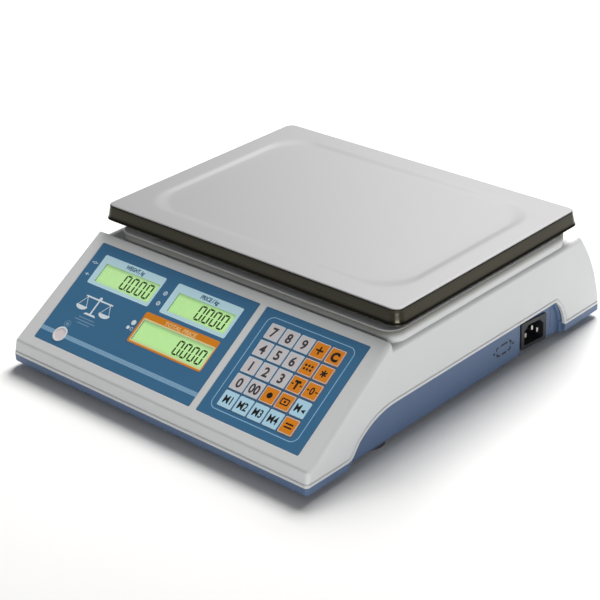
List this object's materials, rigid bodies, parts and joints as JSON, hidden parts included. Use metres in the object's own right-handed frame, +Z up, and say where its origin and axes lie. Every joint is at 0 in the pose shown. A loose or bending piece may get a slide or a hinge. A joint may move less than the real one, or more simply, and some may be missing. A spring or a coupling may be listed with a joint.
{
  "type": "counting scale",
  "caption": "Bench counting scale: wedge case with sloped display and keypad panel, flat stainless weighing pan on a load cell, mains inlet and levelling feet.",
  "frame": {"origin": "on the supporting surface under the middle of the case", "axes": "+X to the operator's right, +Y to the rear, +Z up"},
  "size_m": [0.32, 0.3668, 0.1074],
  "materials": {
    "case_grey": "fine moulded texture",
    "case_blue": "fine moulded texture",
    "overlay_blue": "satin printed film",
    "key_grey": "satin printed film",
    "key_orange": "satin printed film",
    "key_light_blue": "satin printed film",
    "lcd_glass": "liquid crystal cell, green backlight",
    "circuit_board": "solder mask",
    "pan_steel": "satin stainless",
    "zinc_steel": "zinc plated",
    "cell_aluminium": "machined",
    "black_plastic": "moulded",
    "black_rubber": "matt",
    "white_plastic": "moulded",
    "nickel": "plated",
    "vial_clear": "clear",
    "core_steel": "varnished laminations"
  },
  "bodies": {
    "case": {"upper_case": "case_grey", "lower_case": "case_blue", "display_overlay": "overlay_blue", "keypad_overlay": "overlay_blue", "keypad_circuit": "circuit_board", "lcd_weight": "lcd_glass", "lcd_price": "lcd_glass", "lcd_total": "lcd_glass", "display_board": "circuit_board", "seal_cup": "white_plastic", "main_board": "circuit_board", "load_cell_base": "zinc_steel", "load_cell": "cell_aluminium", "cell_base_screws": "zinc_steel", "battery": "black_plastic", "battery_door": "case_blue", "transformer": "core_steel", "mains_inlet": "black_plastic", "inlet_pins": "nickel", "switch_frame": "black_plastic", "level_vial": "vial_clear", "case_screws": "zinc_steel"},
    "platform": {"pan_spider": "zinc_steel", "pan_posts": "black_rubber", "cell_top_screws": "zinc_steel"},
    "pan": {"pan": "pan_steel"},
    "power_rocker": {"power_rocker": "black_plastic"},
    "key_7": {"key_7": "key_grey"},
    "key_8": {"key_8": "key_grey"},
    "key_9": {"key_9": "key_grey"},
    "key_add": {"key_add": "key_orange"},
    "key_clear": {"key_clear": "key_orange"},
    "key_4": {"key_4": "key_grey"},
    "key_5": {"key_5": "key_grey"},
    "key_6": {"key_6": "key_grey"},
    "key_count": {"key_count": "key_orange"},
    "key_multiply": {"key_multiply": "key_orange"},
    "key_1": {"key_1": "key_grey"},
    "key_2": {"key_2": "key_grey"},
    "key_3": {"key_3": "key_grey"},
    "key_tare": {"key_tare": "key_orange"},
    "key_zero": {"key_zero": "key_orange"},
    "key_0": {"key_0": "key_grey"},
    "key_00": {"key_00": "key_grey"},
    "key_point": {"key_point": "key_orange"},
    "key_change": {"key_change": "key_orange"},
    "key_preset": {"key_preset": "key_light_blue"},
    "key_memory_1": {"key_memory_1": "key_light_blue"},
    "key_memory_2": {"key_memory_2": "key_light_blue"},
    "key_memory_3": {"key_memory_3": "key_light_blue"},
    "key_memory_4": {"key_memory_4": "key_light_blue"},
    "key_unit": {"key_unit": "key_orange"},
    "foot_pad_front_left": {"foot_pad_front_left": "black_rubber"},
    "foot_screw_front_left": {"foot_screw_front_left": "black_plastic"},
    "foot_pad_front_right": {"foot_pad_front_right": "black_rubber"},
    "foot_screw_front_right": {"foot_screw_front_right": "black_plastic"},
    "foot_pad_rear_left": {"foot_pad_rear_left": "black_rubber"},
    "foot_screw_rear_left": {"foot_screw_rear_left": "black_plastic"},
    "foot_pad_rear_right": {"foot_pad_rear_right": "black_rubber"},
    "foot_screw_rear_right": {"foot_screw_rear_right": "black_plastic"}
  },
  "joints": [
    {"name": "weighing", "type": "slide", "parent": "case", "child": "platform", "axis": [0, 0, 1], "range_m": [-0.0005, 0], "stiffness_N_per_m": 300000, "deforming": ["load_cell"]},
    {"name": "pan_lift", "type": "slide", "parent": "platform", "child": "pan", "axis": [0, 0, 1], "range_m": [0, 0.03]},
    {"name": "power_rocker_tilt", "type": "hinge", "parent": "case", "child": "power_rocker", "pos_m": [0.07, -0.1414, 0.0084], "axis": [0, 1, 0], "range_deg": [0, 16]},
    {"name": "press_7", "type": "slide", "parent": "case", "child": "key_7", "axis": [0, 0.5454, -0.8381], "range_m": [0, 0.0005], "stiffness_N_per_m": 900, "springref_m": -0.0003},
    {"name": "press_8", "type": "slide", "parent": "case", "child": "key_8", "axis": [0, 0.5454, -0.8381], "range_m": [0, 0.0005], "stiffness_N_per_m": 900, "springref_m": -0.0003},
    {"name": "press_9", "type": "slide", "parent": "case", "child": "key_9", "axis": [0, 0.5454, -0.8381], "range_m": [0, 0.0005], "stiffness_N_per_m": 900, "springref_m": -0.0003},
    {"name": "press_add", "type": "slide", "parent": "case", "child": "key_add", "axis": [0, 0.5454, -0.8381], "range_m": [0, 0.0005], "stiffness_N_per_m": 900, "springref_m": -0.0003},
    {"name": "press_clear", "type": "slide", "parent": "case", "child": "key_clear", "axis": [0, 0.5454, -0.8381], "range_m": [0, 0.0005], "stiffness_N_per_m": 900, "springref_m": -0.0003},
    {"name": "press_4", "type": "slide", "parent": "case", "child": "key_4", "axis": [0, 0.5454, -0.8381], "range_m": [0, 0.0005], "stiffness_N_per_m": 900, "springref_m": -0.0003},
    {"name": "press_5", "type": "slide", "parent": "case", "child": "key_5", "axis": [0, 0.5454, -0.8381], "range_m": [0, 0.0005], "stiffness_N_per_m": 900, "springref_m": -0.0003},
    {"name": "press_6", "type": "slide", "parent": "case", "child": "key_6", "axis": [0, 0.5454, -0.8381], "range_m": [0, 0.0005], "stiffness_N_per_m": 900, "springref_m": -0.0003},
    {"name": "press_count", "type": "slide", "parent": "case", "child": "key_count", "axis": [0, 0.5454, -0.8381], "range_m": [0, 0.0005], "stiffness_N_per_m": 900, "springref_m": -0.0003},
    {"name": "press_multiply", "type": "slide", "parent": "case", "child": "key_multiply", "axis": [0, 0.5454, -0.8381], "range_m": [0, 0.0005], "stiffness_N_per_m": 900, "springref_m": -0.0003},
    {"name": "press_1", "type": "slide", "parent": "case", "child": "key_1", "axis": [0, 0.5454, -0.8381], "range_m": [0, 0.0005], "stiffness_N_per_m": 900, "springref_m": -0.0003},
    {"name": "press_2", "type": "slide", "parent": "case", "child": "key_2", "axis": [0, 0.5454, -0.8381], "range_m": [0, 0.0005], "stiffness_N_per_m": 900, "springref_m": -0.0003},
    {"name": "press_3", "type": "slide", "parent": "case", "child": "key_3", "axis": [0, 0.5454, -0.8381], "range_m": [0, 0.0005], "stiffness_N_per_m": 900, "springref_m": -0.0003},
    {"name": "press_tare", "type": "slide", "parent": "case", "child": "key_tare", "axis": [0, 0.5454, -0.8381], "range_m": [0, 0.0005], "stiffness_N_per_m": 900, "springref_m": -0.0003},
    {"name": "press_zero", "type": "slide", "parent": "case", "child": "key_zero", "axis": [0, 0.5454, -0.8381], "range_m": [0, 0.0005], "stiffness_N_per_m": 900, "springref_m": -0.0003},
    {"name": "press_0", "type": "slide", "parent": "case", "child": "key_0", "axis": [0, 0.5454, -0.8381], "range_m": [0, 0.0005], "stiffness_N_per_m": 900, "springref_m": -0.0003},
    {"name": "press_00", "type": "slide", "parent": "case", "child": "key_00", "axis": [0, 0.5454, -0.8381], "range_m": [0, 0.0005], "stiffness_N_per_m": 900, "springref_m": -0.0003},
    {"name": "press_point", "type": "slide", "parent": "case", "child": "key_point", "axis": [0, 0.5454, -0.8381], "range_m": [0, 0.0005], "stiffness_N_per_m": 900, "springref_m": -0.0003},
    {"name": "press_change", "type": "slide", "parent": "case", "child": "key_change", "axis": [0, 0.5454, -0.8381], "range_m": [0, 0.0005], "stiffness_N_per_m": 900, "springref_m": -0.0003},
    {"name": "press_preset", "type": "slide", "parent": "case", "child": "key_preset", "axis": [0, 0.5454, -0.8381], "range_m": [0, 0.0005], "stiffness_N_per_m": 900, "springref_m": -0.0003},
    {"name": "press_memory_1", "type": "slide", "parent": "case", "child": "key_memory_1", "axis": [0, 0.5454, -0.8381], "range_m": [0, 0.0005], "stiffness_N_per_m": 900, "springref_m": -0.0003},
    {"name": "press_memory_2", "type": "slide", "parent": "case", "child": "key_memory_2", "axis": [0, 0.5454, -0.8381], "range_m": [0, 0.0005], "stiffness_N_per_m": 900, "springref_m": -0.0003},
    {"name": "press_memory_3", "type": "slide", "parent": "case", "child": "key_memory_3", "axis": [0, 0.5454, -0.8381], "range_m": [0, 0.0005], "stiffness_N_per_m": 900, "springref_m": -0.0003},
    {"name": "press_memory_4", "type": "slide", "parent": "case", "child": "key_memory_4", "axis": [0, 0.5454, -0.8381], "range_m": [0, 0.0005], "stiffness_N_per_m": 900, "springref_m": -0.0003},
    {"name": "press_unit", "type": "slide", "parent": "case", "child": "key_unit", "axis": [0, 0.5454, -0.8381], "range_m": [0, 0.0005], "stiffness_N_per_m": 900, "springref_m": -0.0003},
    {"name": "foot_height_front_left", "type": "slide", "parent": "case", "child": "foot_pad_front_left", "axis": [0, 0, 1], "range_m": [-0.004, 0.003]},
    {"name": "foot_turn_front_left", "type": "hinge", "parent": "foot_pad_front_left", "child": "foot_screw_front_left", "pos_m": [-0.139, -0.0929, 0], "axis": [0, 0, 1], "range_deg": [-1153, 865]},
    {"name": "foot_height_front_right", "type": "slide", "parent": "case", "child": "foot_pad_front_right", "axis": [0, 0, 1], "range_m": [-0.004, 0.003]},
    {"name": "foot_turn_front_right", "type": "hinge", "parent": "foot_pad_front_right", "child": "foot_screw_front_right", "pos_m": [0.139, -0.0929, 0], "axis": [0, 0, 1], "range_deg": [-1153, 865]},
    {"name": "foot_height_rear_left", "type": "slide", "parent": "case", "child": "foot_pad_rear_left", "axis": [0, 0, 1], "range_m": [-0.004, 0.003]},
    {"name": "foot_turn_rear_left", "type": "hinge", "parent": "foot_pad_rear_left", "child": "foot_screw_rear_left", "pos_m": [-0.134, 0.1366, 0], "axis": [0, 0, 1], "range_deg": [-1153, 865]},
    {"name": "foot_height_rear_right", "type": "slide", "parent": "case", "child": "foot_pad_rear_right", "axis": [0, 0, 1], "range_m": [-0.004, 0.003]},
    {"name": "foot_turn_rear_right", "type": "hinge", "parent": "foot_pad_rear_right", "child": "foot_screw_rear_right", "pos_m": [0.134, 0.1366, 0], "axis": [0, 0, 1], "range_deg": [-1153, 865]}
  ],
  "couplings": [
    {"joint": "foot_turn_front_left", "follows": "foot_height_front_left", "rad_per_m": 5026.5},
    {"joint": "foot_turn_front_right", "follows": "foot_height_front_right", "rad_per_m": 5026.5},
    {"joint": "foot_turn_rear_left", "follows": "foot_height_rear_left", "rad_per_m": 5026.5},
    {"joint": "foot_turn_rear_right", "follows": "foot_height_rear_right", "rad_per_m": 5026.5}
  ]
}
